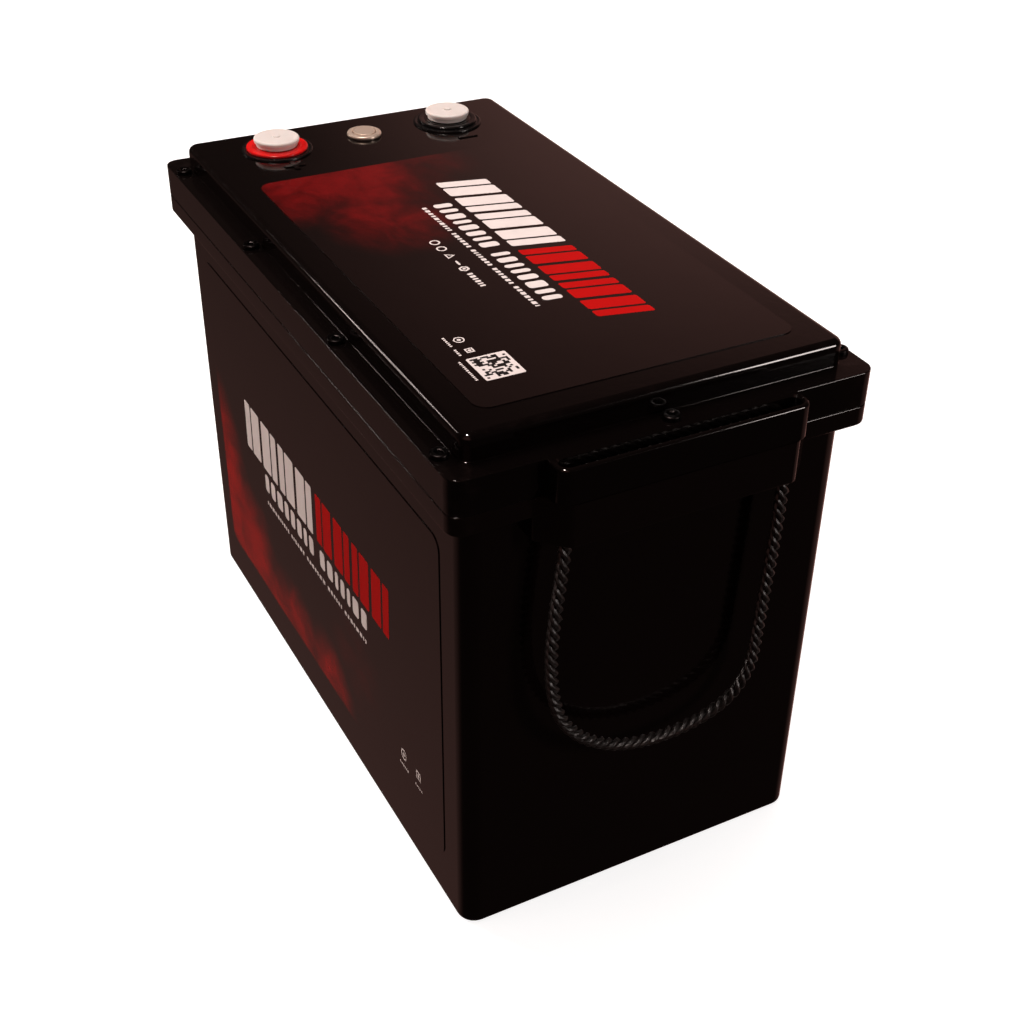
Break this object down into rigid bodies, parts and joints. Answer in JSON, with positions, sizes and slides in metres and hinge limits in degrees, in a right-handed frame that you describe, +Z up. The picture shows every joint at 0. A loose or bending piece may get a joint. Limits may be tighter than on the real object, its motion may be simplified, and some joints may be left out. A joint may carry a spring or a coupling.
{
  "type": "deep cycle battery",
  "caption": "Sealed deep cycle lithium battery: screwed lid with raised middle, two capped screw terminals, push button and a rope handle on each end.",
  "frame": {"origin": "middle of the flat base that the battery stands on", "axes": "+Z up; X along the length, with the terminals near the -X end; -Y is the long side that carries the printed front label"},
  "size_m": [0.381, 0.2026, 0.277],
  "materials": {
    "case_plastic": "glossy moulded ABS, dark brown-black",
    "lid_plastic": "glossy moulded ABS, dark brown-black",
    "seal_rubber": "matt silicone",
    "black_screw": "black oxide steel",
    "plated_terminal": "nickel-plated brass",
    "red_plastic": "glossy red",
    "black_ring": "glossy black",
    "steel_hardware": "zinc-plated steel",
    "cap_white": "semi-gloss white",
    "button_steel": "turned stainless steel",
    "brass_contacts": "bright",
    "rope": "glossy twisted three-strand cord",
    "top_print": "printed film, dark red fading to black",
    "front_print": "printed film, dark red fading to black",
    "cell_wrap": "blue film on an aluminium can",
    "cell_metal": "satin",
    "board_sheet": "glass-fibre laminate sheet",
    "foam": "closed-cell foam",
    "copper_bar": "bare copper",
    "circuit_board": "green solder mask",
    "wire_blue": "satin insulation",
    "wire_black": "satin insulation",
    "wire_red": "satin insulation"
  },
  "bodies": {
    "battery": {"case": "case_plastic", "lid": "lid_plastic", "lid_gasket": "seal_rubber", "lid_screws": "black_screw", "terminal_positive": "plated_terminal", "terminal_negative": "plated_terminal", "terminal_ring_positive": "red_plastic", "terminal_ring_negative": "black_ring", "terminal_seals": "seal_rubber", "terminal_nuts": "steel_hardware", "button_housing": "button_steel", "button_spring": "steel_hardware", "button_nut": "steel_hardware", "button_contacts": "brass_contacts", "rope_anchor_right": "rope", "rope_anchor_left": "rope", "top_label": "top_print", "front_label": "front_print", "cell_1": "cell_wrap", "cell_2": "cell_wrap", "cell_3": "cell_wrap", "cell_4": "cell_wrap", "cell_poles": "cell_metal", "cell_vents": "cell_metal", "cell_insulators": "board_sheet", "end_plates": "board_sheet", "pack_straps": "steel_hardware", "base_foam": "foam", "end_foam": "foam", "top_foam": "foam", "busbars": "copper_bar", "busbar_nuts": "steel_hardware", "sense_tabs": "cell_metal", "bms_heatsink": "cell_metal", "bms_board": "circuit_board", "bms_transistors": "black_ring", "bms_screws": "steel_hardware", "bms_terminals": "cell_metal", "balance_plug": "cap_white", "balance_wires": "wire_blue", "temperature_probe": "black_ring", "wireless_module": "circuit_board", "button_lead": "wire_black", "positive_cable": "wire_red", "cell_negative_cable": "wire_black", "post_negative_cable": "wire_black", "cable_lugs": "plated_terminal"},
    "handle_right": {"rope_handle_right": "rope"},
    "handle_left": {"rope_handle_left": "rope"},
    "positive_cap": {"cap_positive": "cap_white"},
    "negative_cap": {"cap_negative": "cap_white"},
    "button": {"button_cap": "button_steel"}
  },
  "joints": [
    {"name": "right_handle_swing", "type": "hinge", "parent": "battery", "child": "handle_right", "pos_m": [0.184, 0, 0.213], "axis": [0, -1, 0], "range_deg": [0, 110]},
    {"name": "left_handle_swing", "type": "hinge", "parent": "battery", "child": "handle_left", "pos_m": [-0.184, 0, 0.213], "axis": [0, 1, 0], "range_deg": [0, 110]},
    {"name": "positive_cap_lift", "type": "slide", "parent": "battery", "child": "positive_cap", "axis": [0, 0, 1], "range_m": [0, 0.04]},
    {"name": "negative_cap_lift", "type": "slide", "parent": "battery", "child": "negative_cap", "axis": [0, 0, 1], "range_m": [0, 0.04]},
    {"name": "button_press", "type": "slide", "parent": "battery", "child": "button", "axis": [0, 0, -1], "range_m": [0, 0.0015], "stiffness_N_per_m": 400, "springref_m": -0.002, "deforming": ["button_spring"]}
  ]
}
